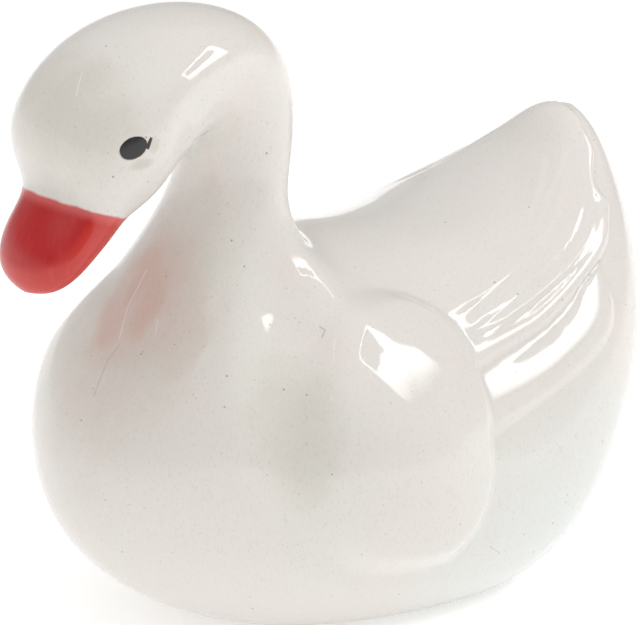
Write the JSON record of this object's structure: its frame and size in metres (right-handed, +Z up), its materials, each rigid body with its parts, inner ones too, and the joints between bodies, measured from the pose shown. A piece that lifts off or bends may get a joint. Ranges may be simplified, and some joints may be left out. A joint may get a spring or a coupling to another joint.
{
  "type": "swan figurine",
  "caption": "Small ornament of a resting swan in white glazed ceramic, with a curved neck, drooping red bill, carved folded wings and raised tail, standing on a flat underside.",
  "frame": {"origin": "on the ground, under the middle of the bird's outline", "axes": "+Z up; the bird faces -X and its left side is towards -Y"},
  "size_m": [0.057, 0.037, 0.048],
  "materials": {
    "white_glaze": "glossy"
  },
  "bodies": {
    "root": {"swan": "white_glaze"}
  },
  "joints": []
}
